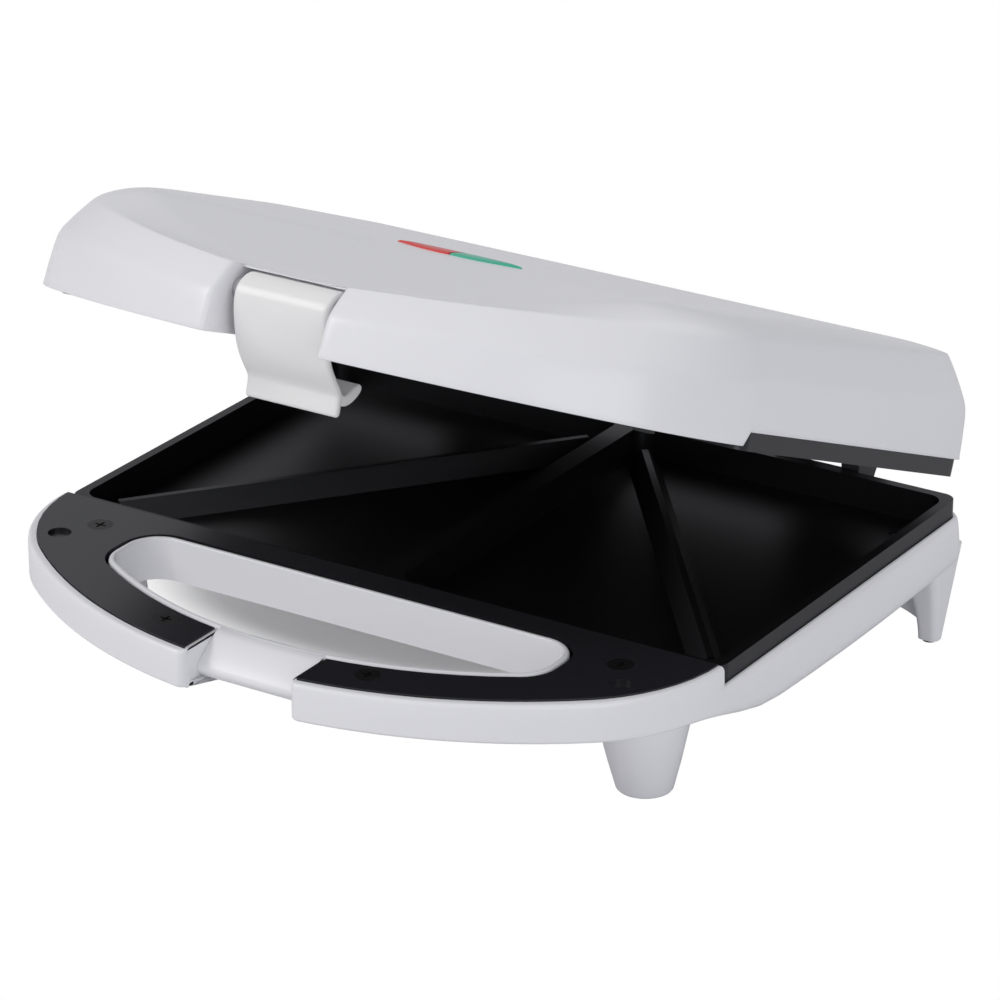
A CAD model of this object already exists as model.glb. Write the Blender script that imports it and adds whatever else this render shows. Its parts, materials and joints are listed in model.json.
"""Looks of the two-slice sandwich toaster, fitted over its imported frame.

Every length in the shape functions is in millimetres, and put() turns it into metres.
"""
import json
import math

import bmesh
import bpy
import numpy as np
from bpy.props import FloatProperty, FloatVectorProperty, PointerProperty
from mathutils import Matrix, Vector


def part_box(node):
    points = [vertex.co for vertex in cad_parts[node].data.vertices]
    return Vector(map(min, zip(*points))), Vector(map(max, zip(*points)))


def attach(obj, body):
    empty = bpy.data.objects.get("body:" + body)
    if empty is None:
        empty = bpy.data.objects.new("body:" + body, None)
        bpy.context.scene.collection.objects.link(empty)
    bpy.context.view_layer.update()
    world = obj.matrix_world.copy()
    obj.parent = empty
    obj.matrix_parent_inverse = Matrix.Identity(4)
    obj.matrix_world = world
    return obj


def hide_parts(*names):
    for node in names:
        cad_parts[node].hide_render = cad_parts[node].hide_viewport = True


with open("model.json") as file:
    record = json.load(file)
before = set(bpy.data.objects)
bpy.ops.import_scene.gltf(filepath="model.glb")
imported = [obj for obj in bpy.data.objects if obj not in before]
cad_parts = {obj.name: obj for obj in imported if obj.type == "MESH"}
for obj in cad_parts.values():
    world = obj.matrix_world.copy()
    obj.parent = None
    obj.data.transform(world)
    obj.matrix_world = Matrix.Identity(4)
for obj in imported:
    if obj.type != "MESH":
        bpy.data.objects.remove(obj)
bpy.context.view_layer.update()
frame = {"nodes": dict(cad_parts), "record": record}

bl_info = {
    "name": "Sandwich toaster",
    "version": (1, 0, 0),
    "blender": (4, 5, 0),
    "location": "View3D > Sidebar > Toaster",
    "description": "White shells, loop handle, latch, lenses and finishes of a sandwich toaster",
    "category": "Add Mesh",
}

# ---- Places that come from the frame, in millimetres ----
PLATE_LOW, PLATE_HIGH = (np.array(c) * 1000 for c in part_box("lower_plate"))
BEZEL_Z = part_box("handle_bezel")[1].z * 1000
RIM_Z = PLATE_HIGH[2]
FRONT_Y = PLATE_LOW[1]
REAR_Y = -FRONT_Y + 2
NOSE_Y = FRONT_Y - 74.3  # foremost point of the D outline
MIDDLE_Y = -110.0  # columns near the middle plane are in front of it or at the rear line
HALF_W = PLATE_HIGH[0] + 1.5
HINGE = np.array([0.0, -FRONT_Y + 15.6, RIM_Z + 10.65])
PIVOT = np.array([0, FRONT_Y - 60, RIM_Z + 15])
OPEN_ANGLE = math.radians(22.8)

# ---- D outline: front curve, front corners and rear corners ----
FRONT_R, CORNER_R, REAR_R = 149.8, 51.5, 7.0
ARC_Y = NOSE_Y + FRONT_R

# ---- Base ----
SHOULDER_Z = RIM_Z - 5.4
SKIRT_START, SKIRT_RUN, SKIRT_QUICK = -44.0, 101.3, 0.42  # where the lower edge starts to rise, and how far
GAP_BACK = FRONT_Y - 12.5
GAP_FRONT = GAP_BACK - 41.5
GAP_HALF, GAP_R, GAP_CORNER = 73.0, 130.0, 9.0
NOTCH_HALF = 17.5
NOTCH_BACK = -126.6
NOTCH_FILLET = 2.8
CHEEK_HALF, WALL_HALF = 17.8, 17.9  # the cheeks stand just proud of the wall's own slot
BEAM_Y = FRONT_Y - 53
FOOT_X, FOOT_Y, FOOT_LEAN_X, FOOT_LEAN_Y = 94.5, FRONT_Y - 11, 4, 8
FOOT_PAD, LEG_PAD = (90.5, -74, 5.2), (111.6, 57.2, 2.2)  # place and radius
PAD_SHOW = 0.8  # how much of a pad shows under its foot
LEG_TOP = 27.5

# ---- Lid: heights above the plates' parting plane ----
WALL = 2.2
LID_CORNER = 55.0  # front corner radius of the lid
LID_BACK = 2.0  # how far the lid stands out behind the base
RECESS_HALF = 18.5
CREST_FRONT, CREST_SIDE, CREST_SLOPE = 20.6, 11.0, 0.042
DISH_START, DISH_FRONT, DISH_SLOPE, DISH_CURVE = 8.3, 20.3, 0.178, 0.00085
DOME_X, DOME_Y, DOME_TOP, DOME_FALL = 172, 153, 37.5, 0.037
LENS_Y, LENS_TILT = NOSE_Y + 96, math.radians(5)
# Middle of the top, and the shares of the way to it from the crest at which its rings stand
CENTRE = np.array([0.0, -10.0])
CAP_STEPS = np.concatenate([np.linspace(.008, .14, 14), np.linspace(.165, .97, 34)])

# ---- Latch: its line in the Y-Z plane, measured from its pin ----
LATCH_LINE = [(3.4, 2.9), (1.6, 4.1), (-1.0, 4.0), (-3.4, 2.6), (-5.4, .2), (-5.4, -3), (-3.9, -7),
              (-1.6, -11.6), (1.4, -15.9), (5, -19.2), (8.6, -21.9), (9.8, -23.6), (10.2, -27.9)]

# ---- Stage: name, place, size, energy and colour of each lamp, and the camera's directions ----
LAMPS = [("Key lamp", (-1.2, -1.35, 1.6), 1.2, 15.5, (1.0, .99, .98)),
         ("Fill lamp", (1.7, -1.3, .6), 1.3, 7.6, (.96, .97, 1.0)),
         ("Rear lamp", (.3, 1.6, 1.5), 1.2, 2.2, (.97, .98, 1.0))]
LAMP_AIM = Vector((0, -.03, .06))
CAMERA_BACK, CAMERA_RIGHT = Vector((.4928, -.7745, .3966)), Vector((.8437, .5368, 0))
CAMERA_AIM, CAMERA_OFFSET = Vector((0, -.071, .042)), (.034058, .022584, 1.379649)


class ShellSizes(bpy.types.PropertyGroup):
    """Sizes of the white shells"""

    skirt_height: FloatProperty(
        name="Skirt height", description="Height of the base's lower edge at its sides",
        default=0.022, min=0.015, max=0.03, unit="LENGTH")
    skirt_rise: FloatProperty(
        name="Skirt rise", description="How much higher that edge is at the handle",
        default=0.0092, min=0.0, max=0.015, unit="LENGTH")
    bulge: FloatProperty(
        name="Side bulge", description="How far the base's sides swell out",
        default=0.00318, min=0.0, max=0.005, unit="LENGTH")
    rim_drop: FloatProperty(
        name="Rim drop", description="How far the white rim lies below the black bezel",
        default=0.0005, min=0.0, max=0.0015, unit="LENGTH")
    slot_fillet: FloatProperty(
        name="Recess rounding", description="Rounding of the upright edges beside the latch",
        default=0.0022, min=0.0005, max=0.004, unit="LENGTH")


class LatchSizes(bpy.types.PropertyGroup):
    """Sizes of the front latch"""

    width: FloatProperty(
        name="Width", description="Width of the latch plate",
        default=0.0306, min=0.02, max=0.033, unit="LENGTH")
    thickness: FloatProperty(
        name="Thickness", description="Thickness of the latch plate",
        default=0.0024, min=0.0015, max=0.003, unit="LENGTH")


class Finishes(bpy.types.PropertyGroup):
    """Colours of the toaster"""

    white: FloatVectorProperty(
        name="White", description="Glossy white of the shells",
        default=(0.805, 0.800, 0.834), min=0, max=1, subtype="COLOR")
    latch_white: FloatVectorProperty(
        name="Latch white", description="Warmer satin white of the latch",
        default=(0.84, 0.835, 0.84), min=0, max=1, subtype="COLOR")
    black: FloatVectorProperty(
        name="Black", description="Gloss black of the bezel",
        default=(0.008, 0.008, 0.010), min=0, max=1, subtype="COLOR")
    coating: FloatVectorProperty(
        name="Coating", description="Dark non-stick coating of the plates",
        default=(0.022, 0.022, 0.025), min=0, max=1, subtype="COLOR")
    red: FloatVectorProperty(
        name="Red lens", description="Red indicator lens",
        default=(0.55, 0.02, 0.02), min=0, max=1, subtype="COLOR")
    green: FloatVectorProperty(
        name="Green lens", description="Green indicator lens",
        default=(0.02, 0.36, 0.24), min=0, max=1, subtype="COLOR")


# ---- Mesh helpers ----
def quads(rows, cols, wrap_rows, wrap_cols):
    """Corner numbers of the cells of a rows x cols grid, joined end to end where it wraps."""
    r = np.arange(rows if wrap_rows else rows - 1)[:, None]
    c = np.arange(cols if wrap_cols else cols - 1)[None, :]
    r1, c1 = (r + 1) % rows, (c + 1) % cols
    cells = [r * cols + c, r * cols + c1, r1 * cols + c1, r1 * cols + c]
    return np.stack([np.broadcast_to(k, (r.size, c.size)) for k in cells], -1).reshape(-1, 4)


def signed_volume(verts, faces):
    """Six times the volume enclosed by faces, as the sum of their corner products."""
    total = 0.0
    for size in {len(f) for f in faces}:
        f = np.array([g for g in faces if len(g) == size])
        for k in range(1, size - 1):
            a, b, c = verts[f[:, 0]], verts[f[:, k]], verts[f[:, k + 1]]
            total += float((a * np.cross(b, c)).sum())
    return total


def put(name, verts, faces, material, body, slot, replaces=(), crease=32):
    """Makes a mesh piece from points in millimetres, with its faces outwards, and ties it to its body."""
    verts = np.asarray(verts, float)
    faces = [tuple(int(i) for i in f) for f in faces]
    if signed_volume(verts, faces) < 0:
        faces = [f[::-1] for f in faces]
    mesh = bpy.data.meshes.new(name)
    mesh.from_pydata((verts * 0.001).tolist(), [], faces)
    built = bmesh.new()
    built.from_mesh(mesh)
    bmesh.ops.remove_doubles(built, verts=built.verts, dist=2e-6)
    bmesh.ops.dissolve_degenerate(built, edges=built.edges, dist=1e-6)
    built.to_mesh(mesh)
    built.free()
    mesh.validate()
    mesh.polygons.foreach_set("use_smooth", [True] * len(mesh.polygons))
    mesh.set_sharp_from_angle(angle=math.radians(crease))
    mesh.materials.append(material)
    obj = bpy.data.objects.new(name, mesh)
    bpy.context.scene.collection.objects.link(obj)
    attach(obj, body)
    if replaces:
        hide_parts(*replaces)
    return obj


def tube_faces(rows, cols):
    """Cells of a closed section (rows) carried round a closed path (cols)."""
    return quads(rows, cols, True, True).tolist()


def stack_faces(n, m):
    """Cells of n rings of m points stacked into a solid, each end one face."""
    return quads(n, m, False, True).tolist() + [list(range(m)), list(range((n - 1) * m, n * m))[::-1]]


def prism(section, xs, shrink):
    """Carries a closed Y-Z section across X: ring k stands at xs[k], pulled in by shrink[k] along
    the section's own normals, and each end is one face."""
    section = np.asarray(section, float)
    after, before = np.roll(section, -1, 0), np.roll(section, 1, 0)
    run = after - before
    normal = np.stack([run[:, 1], -run[:, 0]], -1)
    normal /= np.maximum(np.linalg.norm(normal, axis=1, keepdims=True), 1e-9)
    area = (section[:, 0] * after[:, 1] - after[:, 0] * section[:, 1]).sum()
    normal *= 1 if area > 0 else -1
    n, m = len(section), len(xs)
    rings = section[None] - normal[None] * np.asarray(shrink)[:, None, None]
    verts = np.concatenate([np.broadcast_to(np.asarray(xs, float)[:, None, None], (m, n, 1)), rings], -1)
    return verts.reshape(-1, 3), stack_faces(m, n)


def rounded_xs(half, bevel):
    """Stations across a prism and how far each is pulled in, for ends rounded by bevel."""
    a = np.linspace(0, math.pi / 2, 5)
    end, pull = half - bevel * (1 - np.sin(a)), bevel * (1 - np.cos(a))
    end, pull = end[::-1], pull[::-1]
    mid = np.linspace(-half + bevel * 2, half - bevel * 2, 9)
    return np.concatenate([-end, mid, end[::-1]]), np.concatenate([pull, mid * 0, pull[::-1]])


def chaikin(points, rounds, closed=False):
    """Cuts each corner of a line a quarter in from both sides, rounds times over."""
    p = np.asarray(points, float)
    for _ in range(rounds):
        q = np.roll(p, -1, 0) if closed else p[1:]
        a = p if closed else p[:-1]
        cut = np.stack([a * 0.75 + q * 0.25, a * 0.25 + q * 0.75], 1).reshape(-1, p.shape[1])
        p = cut if closed else np.concatenate([p[:1], cut[1:-1], p[-1:]])
    return p


def opened(points):
    """Turns points from the closed lid's place to the stored open place, about the hinge line."""
    p = np.array(points, float)
    c, s = math.cos(OPEN_ANGLE), math.sin(OPEN_ANGLE)
    dy, dz = p[..., 1] - HINGE[1], p[..., 2] - HINGE[2]
    p[..., 1] = HINGE[1] + dy * c + dz * s
    p[..., 2] = HINGE[2] - dy * s + dz * c
    return p


# ---- D-shaped outline that the base and the lid share ----
def slot_columns(half, fillet):
    """Distances from the middle at which columns stand on the front curve: even ones in the slot,
    the slot's edge twice, once for each side of its cheek, and close ones over the rounding."""
    a = np.linspace(0, math.pi / 2, 6)[1:]
    x = np.concatenate([np.linspace(0, half, 7), [half], half + fillet * (1 - np.cos(a)),
                        np.linspace(half + fillet + 2, 60, 12)])
    return x, np.arange(len(x)) < 7


def d_outline(front, side, rear, x_front, corner_r=CORNER_R):
    """One closed turn of the outline, inset at the front, the sides and the rear: a long front
    curve at the given x, a corner arc, a straight side, a small rear corner and the rear line."""
    r_front, r1 = FRONT_R - front, corner_r - side
    r2, xs = max(REAR_R - rear, 0.4), HALF_W - side
    ax = xs - r1
    ay = ARC_Y - math.sqrt((r_front - r1) ** 2 - ax * ax)
    t = math.asin(ax / (r_front - r1))
    turn = np.linspace(math.asin(x_front[-1] / r_front), t, 8)[1:]
    corner = np.linspace(t, math.pi / 2, 19)[1:]
    flat = np.linspace(max(ay + 0.3, FRONT_Y), REAR_Y - rear - r2, 15)
    back = np.linspace(0, math.pi / 2, 8)[1:]
    line = np.linspace(xs - r2, 0, 9)[1:]
    x = np.concatenate([x_front, r_front * np.sin(turn), ax + r1 * np.sin(corner), flat * 0 + xs,
                        xs - r2 + r2 * np.cos(back), line])
    y = np.concatenate([ARC_Y - np.sqrt(r_front ** 2 - x_front ** 2), ARC_Y - r_front * np.cos(turn),
                        ay - r1 * np.cos(corner), flat, REAR_Y - rear - r2 + r2 * np.sin(back),
                        line * 0 + REAR_Y - rear])
    return np.stack([np.concatenate([x, -x[-2:0:-1]]), np.concatenate([y, y[-2:0:-1]])], -1)


def both_sides(values):
    """Values of the half outline, repeated for its mirrored half in d_outline's order."""
    return np.concatenate([values, values[-2:0:-1]])


def slot_edge(outline, in_slot, half, fillet):
    """Which columns of an outline stand in its slot, and how far a quarter circle beside the slot
    pulls the other columns back."""
    slot = both_sides(np.concatenate([in_slot, np.zeros(len(outline) // 2 + 1 - len(in_slot), bool)]))
    away = np.clip((np.abs(outline[:, 0]) - half) / fillet, 0, 1)
    pull = fillet * (1 - np.sqrt(1 - (1 - away) ** 2))
    return slot, np.where(slot | (outline[:, 1] > MIDDLE_Y), 0, pull)


# ---- Base shell ----
def skirt(y, sizes):
    """Height of the lower edge: level at the sides, then a quick rise to the handle."""
    u = np.clip((SKIRT_START - y) / SKIRT_RUN, 0, 1)
    quick = np.clip(u / SKIRT_QUICK, 0, 1)
    quick = quick * quick * (3 - 2 * quick)
    return sizes.skirt_height * 1000 + sizes.skirt_rise * 1000 * (0.8 * quick + 0.2 * u)


def swell(y, sizes):
    """Outward bulge along the side: a flat parabola, nothing at the front and the rear."""
    return sizes.bulge * 1000 * np.clip(1 - ((y - 4) / (REAR_Y + 8)) ** 2, 0, 1)


def base_shell(sizes):
    """The base wall: a closed section of 24 points carried round the D outline. Its lower rows
    follow the skirt, its upper rows form the collar round the bezel or the shoulder at the plate."""
    x_front, in_slot = slot_columns(WALL_HALF, NOTCH_FILLET)
    top = BEZEL_Z - sizes.rim_drop * 1000
    # inset, share of the bulge, share of the height from skirt to shoulder, lift above the shoulder
    lower = [(2.4, .8, 0, 0), (1.5, .87, .012, 0), (.8, .92, .05, 0), (.3, .97, .12, 0), (0, 1, .2, 0),
             (0, .97, .29, 0), (0, .9, .38, 0), (0, .78, .54, 0), (0, .6, .7, 0), (0, .38, .83, 0)]
    collar = [(0, .2, .93, 0), (0, .08, 1, 0), (0, 0, 0, -1.5), (.12, 0, 0, -.8), (.4, 0, 0, -.35),
              (.8, 0, 0, -.1), (1.2, 0, 0, 0), (2.5, 0, 0, 0), (2.72, 0, 0, -.25), (2.8, 0, 0, -1.8),
              (4.2, 0, 0, -2.1), (4.2, 0, .3, 0), (4.2, .8, .2, 0), (3.0, .8, .1, 0)]
    shoulder = [(0, .24, .90, 0), (.03, .18, .93, 0), (.12, .12, .955, 0), (.28, .06, .975, 0),
                (.5, .02, .99, 0), (.75, 0, .998, 0), (1.0, 0, 1, 0), (1.2, 0, 1, 0), (1.34, 0, .99, 0),
                (1.42, 0, .9, 0), (2.4, 0, .8, 0), (2.6, 0, .5, 0), (3.0, .8, .2, 0), (3.0, .8, .1, 0)]
    rows = []
    outer = d_outline(0, 0, 0, x_front)
    front = outer[:, 1] < FRONT_Y - 0.2
    slot, pull = slot_edge(outer, in_slot, WALL_HALF, NOTCH_FILLET)
    for k in range(len(lower) + len(collar)):
        if k < len(lower):
            pair = (lower[k], lower[k])
        else:
            pair = (collar[k - len(lower)], shoulder[k - len(lower)])
        rings = []
        for inset, share, height, lift in pair:
            p = d_outline(inset, inset, inset, x_front)
            base = skirt(outer[:, 1], sizes)
            z = base * (1 - height) + SHOULDER_Z * height
            if lift < 0 or (height == 0 and inset >= .8 and share == 0):
                z = z * 0 + top + lift
            width = np.minimum(1, np.abs(p[:, 0]) / HALF_W)
            x = p[:, 0] + np.sign(p[:, 0]) * share * swell(p[:, 1], sizes) * width
            y = p[:, 1] + pull * (1 if inset < 2 else 0)
            y = np.where(slot, np.maximum(y, NOTCH_BACK + inset * 0.1), y)
            rings.append(np.stack([x, y, z], -1))
        rows.append(np.where(front[:, None], rings[0], rings[1]))
    verts = np.stack(rows)
    return verts.reshape(-1, 3), tube_faces(*verts.shape[:2])


# ---- Finger gap ----
def gap_outline(grow):
    """The finger gap's rounded outline, grown by grow: front curve, round ends, rear line."""
    centre = GAP_FRONT + GAP_R
    cx = GAP_HALF - GAP_CORNER
    t = math.asin(cx / (GAP_R - GAP_CORNER))
    cy = centre - (GAP_R - GAP_CORNER) * math.cos(t)
    a = np.linspace(0, t, 25)
    b = np.linspace(t, math.pi / 2, 12)[1:]
    c = np.linspace(0, math.pi / 2, 14)
    line = np.linspace(cx, 0, 16)[1:]
    r = GAP_CORNER + grow
    x = np.concatenate([(GAP_R + grow) * np.sin(a), cx + r * np.sin(b), cx + r * np.cos(c), line])
    y = np.concatenate([centre - (GAP_R + grow) * np.cos(a), cy - r * np.cos(b),
                        GAP_BACK - GAP_CORNER + r * np.sin(c), line * 0 + GAP_BACK + grow])
    return np.stack([np.concatenate([x, -x[-2:0:-1]]), np.concatenate([y, y[-2:0:-1]])], -1)


def gap_well(sizes):
    """The wall of the finger gap: a closed section with a rounded lip on top, carried round the gap."""
    lip = BEZEL_Z + 0.15
    section = [(0, None), (0, 30.5), (0, 36), (0, lip - .9), (.12, lip - .4), (.45, lip - .08), (.9, lip),
               (1.35, lip - .08), (1.75, lip - .4), (1.95, lip - .9), (2, BEZEL_Z - 2), (2, 36), (2, None)]
    rows = []
    for grow, z in section:
        p = gap_outline(grow)
        foot = skirt(p[:, 1], sizes) + 0.4
        rows.append(np.concatenate([p, (foot if z is None else np.maximum(foot, z))[:, None]], 1))
    verts = np.stack(rows)
    return verts.reshape(-1, 3), tube_faces(*verts.shape[:2])


def by_angle(outline, angles, centre):
    """Where rays from centre at the given angles meet a star-shaped outline."""
    d = outline - centre
    a = np.arctan2(d[:, 1], d[:, 0])
    order = np.argsort(a)
    r = np.interp(angles, a[order], np.hypot(d[:, 0], d[:, 1])[order], period=2 * math.pi)
    return centre + np.stack([np.cos(angles), np.sin(angles)], -1) * r[:, None]


def base_floor(sizes):
    """The underside: a thin slab between the base wall and the finger gap, following the skirt. Its
    rings go from the outline to the gap in even steps along rays from the gap's middle."""
    centre = np.array([0, (GAP_BACK + GAP_FRONT) / 2])
    angles = np.linspace(-math.pi, math.pi, 361)[:-1]
    x_front, _ = slot_columns(NOTCH_HALF, 1)
    outer = by_angle(d_outline(3, 3, 3, x_front), angles, centre)
    inner = by_angle(gap_outline(0.5), angles, centre)
    notch = (np.abs(outer[:, 0]) < NOTCH_HALF) & (outer[:, 1] < MIDDLE_Y)
    outer[notch] = outer[notch] * [1, 0] + [0, NOTCH_BACK + .6]
    steps = np.linspace(0, 1, 15)
    under = outer[None] * (1 - steps[:, None, None]) + inner[None] * steps[:, None, None]
    z = skirt(under[..., 1], sizes)
    low = np.concatenate([under, z[..., None] + 0.15], -1)
    high = np.concatenate([under, z[..., None] + 1.9], -1)[::-1]
    verts = np.concatenate([low, high])
    return verts.reshape(-1, 3), tube_faces(*verts.shape[:2])


def latch_beam():
    """The bar in the notch that the latch hooks under: a rounded Y-Z profile across the notch."""
    b, y = BEZEL_Z, BEAM_Y
    profile = [(y + .4, b + .1), (y - 3.4, b), (y - 6.2, b - 1.6), (y - 12.0, b - 6.0), (y - 13.3, b - 7.8),
               (y - 12.8, b - 9.4), (y - 10.4, b - 11.7), (y + .4, b - 11.7)]
    return prism(chaikin(profile, 3, True), np.linspace(-17.7, 17.7, 5), np.zeros(5))


def notch_cheek(side, sizes):
    """One side wall of the notch: rounded rectangles stacked from the skirt to the rim."""
    low, top = float(skirt(-140, sizes)) + .3, BEZEL_Z - sizes.rim_drop * 1000
    steps = [(.8, low), (.3, low + .3), (0, low + .9), (0, top - .9), (.25, top - .3), (.8, top)]
    rows = [rounded_box_ring(CHEEK_HALF + d, 20.4, NOSE_Y + 3.9 + d, -124, .3, z) for d, z in steps]
    verts = np.stack(rows) * [side, 1, 1]
    return verts.reshape(-1, 3), stack_faces(*verts.shape[:2])


def front_foot(side, sizes):
    """A tapered round foot: circles whose radius and centre run from the table to the shell."""
    a = np.linspace(0, 2 * math.pi, 65)[:-1]
    join = sizes.skirt_height * 1000 + 9
    rows = []
    for z, r in [(PAD_SHOW, 6.6), (.86, 7.3), (1.1, 7.9), (1.6, 8.25), (2.4, 8.45), (12, 10.55),
                 (join - 5, 13.2), (join, 14.1)]:
        lean = 1 - (z - PAD_SHOW) / (join - PAD_SHOW)
        cx, cy = FOOT_X - FOOT_LEAN_X * lean, FOOT_Y + FOOT_LEAN_Y * lean
        rows.append(np.stack([side * (cx + r * np.cos(a)), cy + r * np.sin(a), a * 0 + z], -1))
    verts = np.stack(rows)
    return verts.reshape(-1, 3), stack_faces(*verts.shape[:2])


def rounded_box_ring(x0, x1, y0, y1, r, z):
    """A rounded rectangle at height z, 8 points a corner."""
    a = np.linspace(0, math.pi / 2, 8)
    cx, cy = [x1 - r, x0 + r, x0 + r, x1 - r], [y1 - r, y1 - r, y0 + r, y0 + r]
    return np.concatenate([np.stack([cx[k] + r * np.cos(a + k * math.pi / 2),
                                     cy[k] + r * np.sin(a + k * math.pi / 2), a * 0 + z], -1)
                           for k in range(4)])


def rear_leg(side):
    """A rear leg: rounded rectangles that widen in a curve from the table up into the shell."""
    rows = []
    for f in np.linspace(0, 1, 14):
        g = f ** 1.5
        x0, x1 = 108.3 - 8.1 * g, 114.9 - .4 * f
        y0, y1 = 54.6 - 3 * g * g, 59.8 + 12.8 * f
        rows.append(rounded_box_ring(x0, x1, y0, y1, 2 + f, PAD_SHOW + (LEG_TOP - PAD_SHOW) * f))
    verts = np.stack(rows) * [side, 1, 1]
    return verts.reshape(-1, 3), stack_faces(*verts.shape[:2])


def rubber_pads():
    """Thin round pads under the feet and legs: a disc with a rounded rim at each place."""
    a = np.linspace(0, 2 * math.pi, 41)[:-1]
    verts, faces = [], []
    for side in (-1, 1):
        for x, y, r in (FOOT_PAD, LEG_PAD):
            rows = [np.stack([side * (x + q * np.cos(a)), y + q * np.sin(a), a * 0 + z], -1)
                    for q, z in [(r - .3, 0), (r - .08, .08), (r, .3), (r, 1.6)]]
            start = sum(len(v) for v in verts)
            cells = stack_faces(len(rows), len(a))
            if side < 0:
                cells = [f[::-1] for f in cells]
            faces += [[i + start for i in f] for f in cells]
            verts.append(np.concatenate(rows))
    return np.concatenate(verts), faces


def rear_skirt():
    """The panel between the rear legs: a slanted sheet whose lower edge is half an ellipse."""
    x = np.linspace(-112, 112, 129)
    low = 0.9 + 12 * np.sqrt(np.clip(1 - (x / 109) ** 2, 0, 1))
    rows = []
    for f, thick in [(0, 0), (.3, 0), (1, 0), (1, 2.4), (.3, 2.4), (0, 2.4)]:
        z = low + (25.5 - low) * f
        y = 60 + (z - .8) / 24.2 * 9.2
        rows.append(np.stack([x, y + thick, z], -1))
    verts = np.stack(rows)
    n, m = verts.shape[:2]
    faces = quads(n, m, True, False).tolist()
    faces += [[k * m for k in range(n)], [k * m + m - 1 for k in range(n)][::-1]]
    return verts.reshape(-1, 3), faces


# ---- Lid shell, worked out closed and then opened ----
def crest(x, y):
    """Height of the lid's crest: lowest at the front middle, rising outwards and to the rear."""
    u = np.minimum(1, np.abs(x) / HALF_W)
    side = 0.6 * u + 0.4 * u * u
    return RIM_Z + CREST_FRONT + CREST_SIDE * side + CREST_SLOPE * np.maximum(0, y - FRONT_Y)


def lid_top(x, y):
    """Height of the top: the scoop, a sloped trough, softly meets the gently domed plateau."""
    d = y - NOSE_Y - DISH_START
    dish = RIM_Z + DISH_FRONT + DISH_SLOPE * d + DISH_CURVE * x * x
    fall = DOME_Y * (1 - np.hypot(x / DOME_X, d / DOME_Y))
    dome = RIM_Z + DOME_TOP - DOME_FALL * np.maximum(0, fall)
    h = np.maximum(1.0 - np.abs(dish - dome), 0)
    return np.minimum(dish, dome) - h * h * 0.25


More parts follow.
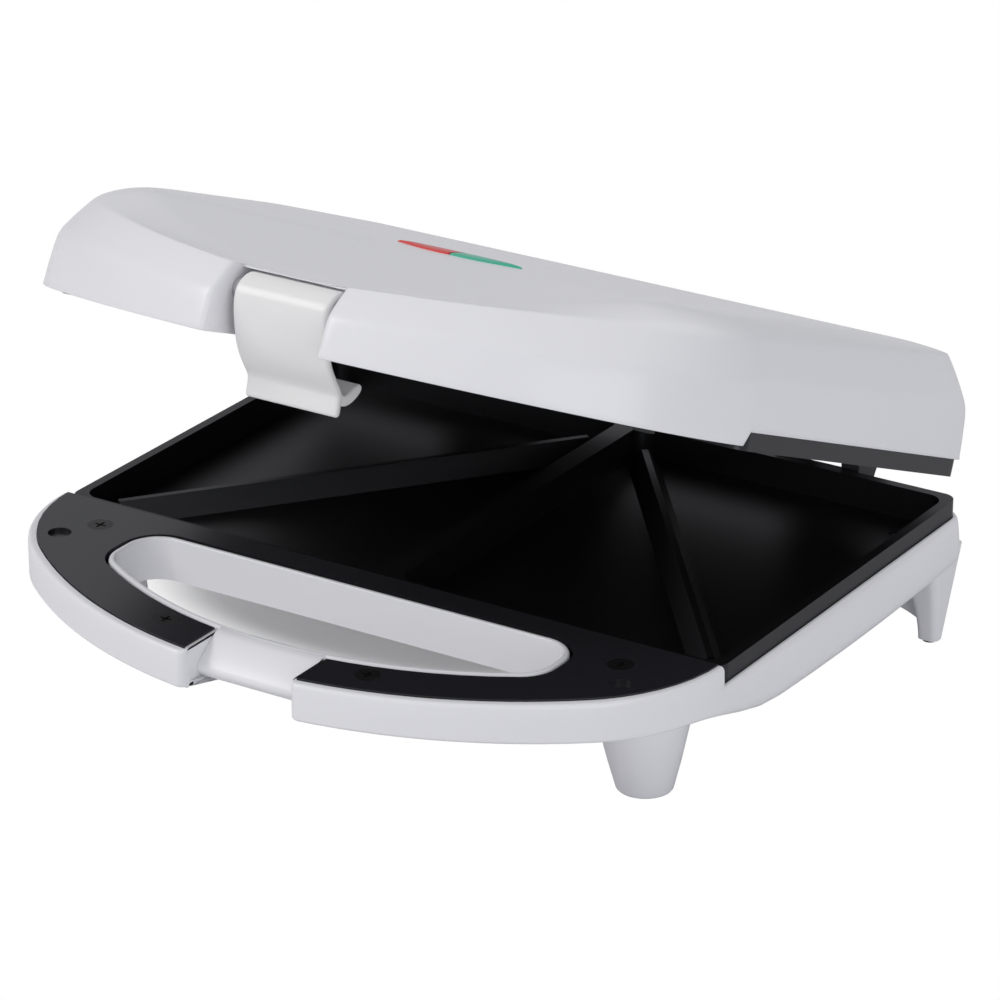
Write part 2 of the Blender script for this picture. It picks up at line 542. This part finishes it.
def lid_shell(sizes):
    """The lid: rows from the top's middle down the outside, round the lower edge and back up the
    inside, carried round the D outline. In the latch recess the columns turn back to a pocket."""
    fillet = sizes.slot_fillet * 1000
    x_front, in_slot = slot_columns(RECESS_HALF, fillet)
    front_z, edge_z = BEZEL_Z + .3, RIM_Z + 5.8

    def outline(d):
        return d_outline(d, d, d - LID_BACK, x_front, LID_CORNER)

    p0 = outline(0)
    edge = np.where(p0[:, 1] < FRONT_Y - 0.2, front_z, edge_z)
    slot, pull = slot_edge(p0, in_slot, RECESS_HALF, fillet)
    section = chaikin([(0, 0), (.02, .14), (.05, .30), (.115, .526), (.21, .62), (.354, .7), (.56, .81),
                       (.77, .91), (.93, .98), (1, 1)], 2)
    section = section[section[:, 1] > 0.03]

    def rings(d):
        q0 = outline(d)
        q1 = d_outline(13 + d, 8.5 + d, 11 + d, x_front, LID_CORNER)
        h = crest(q0[:, 0], q0[:, 1]) - RIM_Z - 1.7
        pr = q0 + (q1 - q0) * np.minimum(1, h / 33)[:, None]
        high = crest(pr[:, 0], pr[:, 1]) - d
        wall = []
        for share, rise in section:
            p = q0 + (pr - q0) * share
            z = np.maximum(front_z + (high - front_z) * rise, edge + .6 + rise)
            wall.append(np.concatenate([p, z[:, None]], 1))
        cap = []
        for t in CAP_STEPS:
            p = pr + (CENTRE - pr) * t
            w = math.sin(math.pi / 2 * min(1, t / .14)) ** 0.8
            z = (1 - w) * crest(pr[:, 0], pr[:, 1]) + w * lid_top(p[:, 0], p[:, 1]) - d
            cap.append(np.concatenate([p, z[:, None]], 1))
        return q0, wall, cap

    q_out, wall_out, cap_out = rings(0)
    q_in, wall_in, cap_in = rings(WALL)

    def level(p, z):
        return np.concatenate([p, (np.zeros(len(p)) + z)[:, None]], 1)

    lip = [level(q_out, edge + .35), level(outline(.12), edge + .1), level(outline(.4), edge),
           level(outline(WALL - .3), edge), level(q_in, edge + .3)]
    # Front and rear of the recess, the underside of its roof and the lower edge of its walls
    recess_y, pocket_y, roof_z, cheek_z = NOSE_Y + 14.4, PIVOT[1] + 31, PIVOT[2] + 5.85, BEZEL_Z + 1
    outside = cap_out[::-1] + wall_out[::-1]
    fade = [max(0, 1 - t / .06) for t in CAP_STEPS[::-1]] + [1] * (len(wall_out) + 3)
    rows = []
    for row, part in zip(outside + lip[:3], fade):
        row = row.copy()
        row[:, 1] += pull * part
        deep = np.maximum(row[:, 1], recess_y)
        row[:, 1] = np.where(slot, deep, row[:, 1])
        row[:, 2] = np.where(slot & (row[:, 1] <= recess_y + .01), np.maximum(row[:, 2], roof_z), row[:, 2])
        rows.append(row)
    # In the slot the lower edge becomes the pocket's roof and back wall
    turns = [(recess_y, roof_z), (pocket_y, roof_z), (pocket_y, cheek_z)]
    for (y, z), k in zip(turns, range(len(rows) - 3, len(rows))):
        rows[k][:, 1] = np.where(slot, y, rows[k][:, 1])
        rows[k][:, 2] = np.where(slot, z, rows[k][:, 2])
    near = (np.abs(q_in[:, 0]) < RECESS_HALF + WALL + .1) & (q_in[:, 1] < MIDDLE_Y)
    for k, row in enumerate(lip[3:] + wall_in + cap_in):
        row = row.copy()
        back = pocket_y + WALL * min(1, (k + 1) / 2)
        row[:, 1] = np.where(near, np.maximum(row[:, 1], back), row[:, 1])
        if k < 1:
            row[:, 2] = np.where(near, cheek_z, row[:, 2])
        rows.append(row)
    verts = np.stack(rows)
    n, m = verts.shape[:2]
    peak = float(lid_top(*CENTRE))
    poles = [[*CENTRE, peak], [*CENTRE, peak - WALL]]
    verts = np.concatenate([verts.reshape(-1, 3), poles])
    faces = quads(n, m, False, True).tolist()
    ring = np.arange(m)
    last = (n - 1) * m
    faces += np.stack([ring * 0 + n * m, np.roll(ring, -1), ring], -1).tolist()
    faces += np.stack([ring * 0 + n * m + 1, last + ring, last + np.roll(ring, -1)], -1).tolist()
    return opened(verts), faces


# ---- Latch ----
def latch_plate(sizes):
    """The latch: a curved strip of even thickness with rounded edges, swept across its width."""
    line = chaikin(LATCH_LINE, 3)
    run = np.gradient(line, axis=0)
    normal = np.stack([run[:, 1], -run[:, 0]], -1) / np.linalg.norm(run, axis=1, keepdims=True)
    t = sizes.thickness * 500
    a = np.linspace(0, math.pi, 9)[1:-1, None]
    tail = line[-1] + t * (normal[-1] * np.cos(a) + run[-1] / np.linalg.norm(run[-1]) * np.sin(a))
    head = line[0] - t * (normal[0] * np.cos(a) + run[0] / np.linalg.norm(run[0]) * np.sin(a))
    section = np.concatenate([line + normal * t, tail, (line - normal * t)[::-1], head])
    xs, pull = rounded_xs(sizes.width * 500, 0.9)
    verts, faces = prism(section, xs, pull)
    return opened(verts + PIVOT), faces


def latch_hook(sizes):
    """The shelf behind the latch's fold, which grips under the beam."""
    profile = chaikin([(9.4, -21), (12.5, -23.5), (18.6, -18.3), (20.9, -21), (14.8, -26.1), (9.4, -25.4)],
                      2, True)
    xs, pull = rounded_xs(sizes.width * 500 - .3, 0.6)
    verts, faces = prism(profile, xs, pull)
    return opened(verts + PIVOT), faces


def latch_ears(sizes):
    """Two ears round the latch pin: a disc joined to the strip, rounded at its faces."""
    a = np.linspace(-math.pi * .62, math.pi * .62, 25)
    disc = np.stack([3.0 * np.cos(a), 3.0 * np.sin(a)], -1)
    profile = np.concatenate([disc, [(-4.6, 2.2), (-4.6, -3)]])
    verts, faces = [], []
    for side in (-1, 1):
        xs, pull = rounded_xs(2.4, 0.4)
        v, f = prism(profile, xs + side * (sizes.width * 500 - 2.9), pull)
        start = sum(len(u) for u in verts)
        faces += [[i + start for i in g] for g in f]
        verts.append(v)
    return opened(np.concatenate(verts) + PIVOT), faces


# ---- Lenses ----
def lens(side):
    """Half of a leaf: blunt at the joint, widest soon after it, then a cosine taper to the tip.
    Its top is a shallow dome with a rounded rim."""
    u = np.concatenate([[0], np.linspace(.15, 20.6, 44), [20.9]])
    half = np.where(u > 5, 4.9 * np.cos(math.pi / 2 * np.clip((u - 5) / 16, 0, .999)),
                    4.9 - .55 * ((5 - u) / 5) ** 2)
    half = np.maximum(half, .05)
    v = np.linspace(-1, 1, 17)
    x = (u + .35)[:, None] + side * .22 * half[:, None] * v[None] * np.clip(1 - u[:, None] / 6, 0, 1)
    y = half[:, None] * v[None]
    rim = np.minimum(1, (1 - np.abs(v)) * half[:, None] / .45)
    z = .25 * rim + .35 * (1 - v[None] ** 2) * np.minimum(1, half[:, None] / 2)
    top = np.stack([x, y, z], -1)
    low = np.stack([x, y, x * 0 - 2.6], -1)
    n, m = top.shape[:2]
    verts = np.concatenate([top.reshape(-1, 3), low.reshape(-1, 3)])
    faces = quads(n, m, False, False).tolist()
    faces += [[i + n * m for i in f[::-1]] for f in faces]
    loop = (list(range(m)) + [k * m + m - 1 for k in range(1, n)]
            + [(n - 1) * m + j for j in range(m - 2, -1, -1)] + [k * m for k in range(n - 2, 0, -1)])
    faces += [[b, a, a + n * m, b + n * m] for a, b in zip(loop, loop[1:] + loop[:1])]
    c, s = math.cos(LENS_TILT), math.sin(LENS_TILT)
    z0 = float(lid_top(10.5, LENS_Y)) + .3
    out = np.stack([side * verts[:, 0], LENS_Y + verts[:, 1] * c - verts[:, 2] * s,
                    z0 + verts[:, 1] * s + verts[:, 2] * c], -1)
    return opened(out), faces


# ---- Materials ----
def group(name, inputs, outputs, build):
    """A shader node group with named inputs and outputs, built once."""
    if name in bpy.data.node_groups:
        return bpy.data.node_groups[name]
    tree = bpy.data.node_groups.new(name, "ShaderNodeTree")
    for label, kind, value in inputs:
        socket = tree.interface.new_socket(name=label, in_out="INPUT", socket_type=kind)
        socket.default_value = value
    for label, kind in outputs:
        tree.interface.new_socket(name=label, in_out="OUTPUT", socket_type=kind)
    build(tree, tree.nodes.new("NodeGroupInput"), tree.nodes.new("NodeGroupOutput"))
    return tree


def node(tree, kind, links=None, **values):
    """Adds a node, sets its named values and links its inputs from other nodes' sockets."""
    made = tree.nodes.new(kind)
    for key, value in values.items():
        setattr(made, key, value)
    for key, source in (links or {}).items():
        target = made.inputs[key]
        if isinstance(source, bpy.types.NodeSocket):
            tree.links.new(source, target)
        else:
            target.default_value = source
    return made


def grain_group():
    """Fine grain: noise on Object coordinates gives a tint, a roughness and a bump height."""
    def build(tree, source, sink):
        place = node(tree, "ShaderNodeTexCoord").outputs["Object"]
        stretch = node(tree, "ShaderNodeVectorMath", {0: place, 1: source.outputs["Stretch"]},
                       operation="MULTIPLY")
        fine = node(tree, "ShaderNodeTexNoise", {
            "Vector": stretch.outputs[0], "Scale": source.outputs["Scale"], "Detail": 3.0, "Roughness": .6})
        cloud = node(tree, "ShaderNodeTexNoise", {"Vector": place, "Scale": 18.0, "Detail": 2.0})
        tint = node(tree, "ShaderNodeMapRange", {"Value": fine.outputs["Fac"], 1: .3, 2: .7,
                                                 3: source.outputs["Darker"], 4: 1.0})
        colour = node(tree, "ShaderNodeMix", {
            "Factor": 1.0, 6: source.outputs["Color"], 7: tint.outputs[0]},
            data_type="RGBA", blend_type="MULTIPLY")
        rough = node(tree, "ShaderNodeMath", {0: cloud.outputs["Fac"], 1: source.outputs["Vary"],
                                              2: source.outputs["Roughness"]}, operation="MULTIPLY_ADD")
        tree.links.new(colour.outputs[2], sink.inputs["Color"])
        tree.links.new(rough.outputs[0], sink.inputs["Roughness"])
        tree.links.new(fine.outputs["Fac"], sink.inputs["Height"])
    inputs = [("Color", "NodeSocketColor", (.8, .8, .8, 1)), ("Scale", "NodeSocketFloat", 400.0),
              ("Stretch", "NodeSocketVector", (1, 1, 1)), ("Darker", "NodeSocketFloat", .98),
              ("Roughness", "NodeSocketFloat", .3), ("Vary", "NodeSocketFloat", .05)]
    outputs = [("Color", "NodeSocketColor"), ("Roughness", "NodeSocketFloat"),
               ("Height", "NodeSocketFloat")]
    return group("Fine grain", inputs, outputs, build)


def finish_material(name, colour, roughness, scale=400.0, stretch=(1, 1, 1), darker=.985, vary=.05,
                    bump=.02, metallic=0.0, coat=0.0, glow=None, transmission=0.0):
    """A finish: the shared grain feeds colour, roughness and bump of one Principled shader."""
    if name in bpy.data.materials:
        return bpy.data.materials[name]
    material = bpy.data.materials.new(name)
    material.use_nodes = True
    tree = material.node_tree
    shader = tree.nodes["Principled BSDF"]
    grain = node(tree, "ShaderNodeGroup", node_tree=grain_group())
    for key, value in [("Color", (*colour, 1)), ("Scale", scale), ("Stretch", stretch), ("Darker", darker),
                       ("Roughness", roughness - vary / 2), ("Vary", vary)]:
        grain.inputs[key].default_value = value
    tree.links.new(grain.outputs["Color"], shader.inputs["Base Color"])
    tree.links.new(grain.outputs["Roughness"], shader.inputs["Roughness"])
    bump_node = node(tree, "ShaderNodeBump", {
        "Strength": bump, "Distance": .0002, "Height": grain.outputs["Height"]})
    tree.links.new(bump_node.outputs[0], shader.inputs["Normal"])
    shader.inputs["Metallic"].default_value = metallic
    shader.inputs["Coat Weight"].default_value = coat
    shader.inputs["Coat Roughness"].default_value = .06
    shader.inputs["Transmission Weight"].default_value = transmission
    if glow:
        shader.inputs["Emission Color"].default_value = (*glow[0], 1)
        shader.inputs["Emission Strength"].default_value = glow[1]
    return material


def coating_material(colour):
    """Non-stick coating: near black on level faces, and brushed dark grey on upright ones."""
    if "nonstick" in bpy.data.materials:
        return bpy.data.materials["nonstick"]
    material = finish_material("nonstick", colour, .4, scale=900.0, darker=.5, vary=.12, bump=.3)
    tree = material.node_tree
    shader = tree.nodes["Principled BSDF"]
    plain = shader.inputs["Base Color"].links[0].from_socket
    brushed = node(tree, "ShaderNodeGroup", node_tree=grain_group())
    for key, value in [("Color", (.085, .087, .095, 1)), ("Scale", 60.0), ("Stretch", (.25, .25, 22.0)),
                       ("Darker", .35), ("Roughness", .3)]:
        brushed.inputs[key].default_value = value
    facing = node(tree, "ShaderNodeNewGeometry").outputs["Normal"]
    split = node(tree, "ShaderNodeSeparateXYZ", {0: facing})
    size = node(tree, "ShaderNodeMath", {0: split.outputs["Z"]}, operation="ABSOLUTE")
    upright = node(tree, "ShaderNodeMapRange", {"Value": size.outputs[0], 1: .35, 2: .6, 3: 1.0, 4: 0.0})
    mix = node(tree, "ShaderNodeMix", {"Factor": upright.outputs[0], 6: plain, 7: brushed.outputs["Color"]},
               data_type="RGBA")
    tree.links.new(mix.outputs[2], shader.inputs["Base Color"])
    return material


def finish_for(slot):
    """The finish of a named material slot of the record."""
    f = bpy.context.scene.toaster_finishes
    if slot == "nonstick":
        return coating_material(f.coating)
    table = {
        "white_housing": dict(colour=f.white, roughness=.24, coat=.35, darker=.992, bump=.012, scale=900.0),
        "latch_white": dict(colour=f.latch_white, roughness=.38, coat=.1, darker=.99, bump=.03,
                            scale=900.0),
        "black_gloss": dict(colour=f.black, roughness=.12, coat=.5, darker=.9, bump=.01, scale=700.0),
        "black_satin": dict(colour=(.02, .02, .023), roughness=.45, darker=.8, bump=.12, scale=700.0),
        "black_screw": dict(colour=(.012, .012, .013), roughness=.3, darker=.8, bump=.05),
        "rubber": dict(colour=(.02, .02, .02), roughness=.8, darker=.8, bump=.2),
        "steel": dict(colour=(.55, .55, .57), roughness=.3, metallic=1.0, darker=.85, bump=.05,
                      stretch=(.2, 2, 2)),
        "aluminium": dict(colour=(.75, .75, .77), roughness=.35, metallic=1.0, darker=.9, bump=.05,
                          stretch=(.2, 2, 2)),
        "ceramic": dict(colour=(.72, .68, .6), roughness=.6, darker=.9, bump=.1),
        "wire": dict(colour=(.5, .04, .03), roughness=.5, darker=.9, bump=.05),
        "red_lens": dict(colour=f.red, roughness=.15, coat=.6, darker=.7, scale=500.0, bump=.05,
                         glow=((.8, .05, .03), .12)),
        "green_lens": dict(colour=f.green, roughness=.15, coat=.6, darker=.7, scale=500.0, bump=.05,
                           glow=((.05, .6, .4), .05)),
        "lamp_glass": dict(colour=(.95, .75, .6), roughness=.08, transmission=.9, darker=.95, bump=0.0),
    }
    return finish_material(slot, **table[slot])


# ---- Operators ----
class TOASTER_OT_base(bpy.types.Operator):
    """Builds the base: wall, underside, finger gap, beam, feet and rear legs"""

    bl_idname = "toaster.base"
    bl_label = "Base shell"

    def execute(self, context):
        sizes = context.scene.toaster_shells
        white = finish_for("white_housing")
        put("base_wall", *base_shell(sizes), white, "base", "white_housing", ["base_housing"])
        put("finger_gap_wall", *gap_well(sizes), white, "base", "white_housing")
        put("base_floor", *base_floor(sizes), white, "base", "white_housing")
        put("notch_beam", *latch_beam(), white, "base", "white_housing")
        put("rear_skirt", *rear_skirt(), white, "base", "white_housing")
        put("rubber_feet_pads", *rubber_pads(), finish_for("rubber"), "base", "rubber", ["foot_pads"])
        for side, name in ((-1, "left"), (1, "right")):
            put("notch_cheek_" + name, *notch_cheek(side, sizes), white, "base", "white_housing")
            put("front_foot_moulding_" + name, *front_foot(side, sizes), white, "base", "white_housing",
                ["front_foot_" + name])
            put("rear_leg_" + name, *rear_leg(side), white, "base", "white_housing")
        return {"FINISHED"}


class TOASTER_OT_lid(bpy.types.Operator):
    """Builds the lid's shell with its scooped top and latch recess, and its two lenses"""

    bl_idname = "toaster.lid"
    bl_label = "Lid shell and lenses"

    def execute(self, context):
        sizes = context.scene.toaster_shells
        put("lid_shell", *lid_shell(sizes), finish_for("white_housing"), "lid", "white_housing",
            ["lid_housing"], crease=40)
        for side, slot in ((-1, "red_lens"), (1, "green_lens")):
            put(slot + "_leaf", *lens(side), finish_for(slot), "lid", slot, [slot], crease=50)
        return {"FINISHED"}


class TOASTER_OT_latch(bpy.types.Operator):
    """Builds the swinging latch with its hook and ears"""

    bl_idname = "toaster.latch"
    bl_label = "Latch"

    def execute(self, context):
        sizes = context.scene.toaster_latch
        satin = finish_for("latch_white")
        put("latch_plate", *latch_plate(sizes), satin, "latch", "latch_white", ["latch"], crease=50)
        put("latch_hook", *latch_hook(sizes), satin, "latch", "latch_white", crease=50)
        put("latch_ears", *latch_ears(sizes), satin, "latch", "latch_white", crease=50)
        return {"FINISHED"}


class TOASTER_OT_finishes(bpy.types.Operator):
    """Gives each carried-over part the finish that its record names"""

    bl_idname = "toaster.finishes"
    bl_label = "Finishes"

    def execute(self, context):
        slots = {part["node"]: part["material_slot"] for part in frame["record"]["subparts"]}
        for name, obj in frame["nodes"].items():
            material = finish_for(slots[name])
            if not obj.material_slots:
                obj.data.materials.append(material)
            for slot in obj.material_slots:
                slot.material = material
        return {"FINISHED"}


class TOASTER_OT_stage(bpy.types.Operator):
    """Sets the floor, the world, the lamps and the camera"""

    bl_idname = "toaster.stage"
    bl_label = "Stage"

    def execute(self, context):
        scene = context.scene
        scene.view_settings.view_transform = "Standard"
        self.floor(scene)
        self.world(scene)
        for name, place, size, energy, colour in LAMPS:
            lamp = bpy.data.lights.new(name, "AREA")
            lamp.size, lamp.energy, lamp.color = size, energy, colour
            obj = bpy.data.objects.new(name, lamp)
            obj.location = place
            obj.rotation_euler = (LAMP_AIM - Vector(place)).to_track_quat("-Z", "Y").to_euler()
            scene.collection.objects.link(obj)
        self.camera(scene)
        return {"FINISHED"}

    @staticmethod
    def floor(scene):
        """A pale floor that looks white to the camera, but shows the object's soft shadow in a patch
        under the handle, which is seen through the finger gap."""
        mesh = bpy.data.meshes.new("floor")
        mesh.from_pydata([(-30, -30, 0), (30, -30, 0), (30, 30, 0), (-30, 30, 0)], [], [(0, 1, 2, 3)])
        material = bpy.data.materials.new("floor")
        material.use_nodes = True
        tree = material.node_tree
        shader = tree.nodes["Principled BSDF"]
        shader.inputs["Base Color"].default_value = (.82, .82, .83, 1)
        shader.inputs["Roughness"].default_value = .9
        path = node(tree, "ShaderNodeLightPath")
        white = node(tree, "ShaderNodeEmission", {"Color": (1, 1, 1, 1), "Strength": 1.0})
        place = node(tree, "ShaderNodeTexCoord").outputs["Object"]
        near = node(tree, "ShaderNodeVectorMath", {0: place, 1: (-.04, -.012, 0)}, operation="SUBTRACT")
        squash = node(tree, "ShaderNodeVectorMath", {0: near.outputs[0], 1: (1 / .1, 1 / .05, 0)},
                      operation="MULTIPLY")
        reach = node(tree, "ShaderNodeVectorMath", {0: squash.outputs[0]}, operation="LENGTH")
        share = node(tree, "ShaderNodeMapRange", {
            "Value": reach.outputs["Value"], 1: .6, 2: 1.0, 3: .2, 4: 1.0}, interpolation_type="SMOOTHSTEP")
        seen = node(tree, "ShaderNodeMath", {0: path.outputs["Is Camera Ray"], 1: share.outputs[0]},
                    operation="MULTIPLY")
        mix = node(tree, "ShaderNodeMixShader", {
            0: seen.outputs[0], 1: shader.outputs[0], 2: white.outputs[0]})
        tree.links.new(mix.outputs[0], tree.nodes["Material Output"].inputs["Surface"])
        mesh.materials.append(material)
        obj = bpy.data.objects.new("floor", mesh)
        scene.collection.objects.link(obj)

    @staticmethod
    def world(scene):
        """A pale surround: white to the camera, softer and slightly cool as a light."""
        world = bpy.data.worlds.new("Studio")
        scene.world = world
        world.use_nodes = True
        tree = world.node_tree
        tree.nodes.clear()
        out = tree.nodes.new("ShaderNodeOutputWorld")
        path = node(tree, "ShaderNodeLightPath")
        seen = node(tree, "ShaderNodeBackground", {"Color": (1, 1, 1, 1), "Strength": 1.0})
        place = node(tree, "ShaderNodeTexCoord")
        split = node(tree, "ShaderNodeSeparateXYZ", {0: place.outputs["Generated"]})
        ramp = node(tree, "ShaderNodeValToRGB", {0: split.outputs["Z"]})
        low, high = ramp.color_ramp.elements
        low.position, low.color = 0.0, (.62, .63, .68, 1)
        high.position, high.color = 0.75, (.98, .98, 1.0, 1)
        soft = node(tree, "ShaderNodeBackground", {"Color": ramp.outputs[0], "Strength": .56})
        mix = node(tree, "ShaderNodeMixShader", {0: path.outputs["Is Camera Ray"], 1: soft.outputs[0],
                                                 2: seen.outputs[0]})
        tree.links.new(mix.outputs[0], out.inputs[0])

    @staticmethod
    def camera(scene):
        """A long lens from the front right, set by its own three directions."""
        back, right = CAMERA_BACK.normalized(), CAMERA_RIGHT.normalized()
        up = back.cross(right)
        across, above, away = CAMERA_OFFSET
        place = back * away + right * across + up * above + CAMERA_AIM
        data = bpy.data.cameras.new("Camera")
        data.lens, data.sensor_width = 172.8, 36.0
        data.clip_start, data.clip_end = .05, 100
        camera = bpy.data.objects.new("Camera", data)
        camera.matrix_world = Matrix.Translation(place) @ Matrix((right, up, back)).transposed().to_4x4()
        scene.collection.objects.link(camera)
        scene.camera = camera


class TOASTER_PT_panel(bpy.types.Panel):
    """Lists the toaster's operators and sizes"""

    bl_label = "Sandwich toaster"
    bl_idname = "TOASTER_PT_panel"
    bl_space_type = "VIEW_3D"
    bl_region_type = "UI"
    bl_category = "Toaster"

    def draw(self, context):
        for kind in OPERATORS:
            self.layout.operator(kind.bl_idname)
        scene = context.scene
        for holder in (scene.toaster_shells, scene.toaster_latch, scene.toaster_finishes):
            for key in holder.__annotations__:
                self.layout.prop(holder, key)


OPERATORS = [TOASTER_OT_base, TOASTER_OT_lid, TOASTER_OT_latch, TOASTER_OT_finishes, TOASTER_OT_stage]
CLASSES = [ShellSizes, LatchSizes, Finishes, *OPERATORS, TOASTER_PT_panel]


def register():
    """Registers the classes and hangs the sizes on the scene."""
    for kind in CLASSES:
        bpy.utils.register_class(kind)
    bpy.types.Scene.toaster_shells = PointerProperty(type=ShellSizes)
    bpy.types.Scene.toaster_latch = PointerProperty(type=LatchSizes)
    bpy.types.Scene.toaster_finishes = PointerProperty(type=Finishes)


def unregister():
    """Takes the sizes and the classes away again."""
    del bpy.types.Scene.toaster_finishes
    del bpy.types.Scene.toaster_latch
    del bpy.types.Scene.toaster_shells
    for kind in reversed(CLASSES):
        bpy.utils.unregister_class(kind)


def main():
    """Builds every piece in order."""
    register()
    bpy.ops.toaster.base()
    bpy.ops.toaster.lid()
    bpy.ops.toaster.latch()
    bpy.ops.toaster.finishes()
    bpy.ops.toaster.stage()


if __name__ == "__main__":
    main()
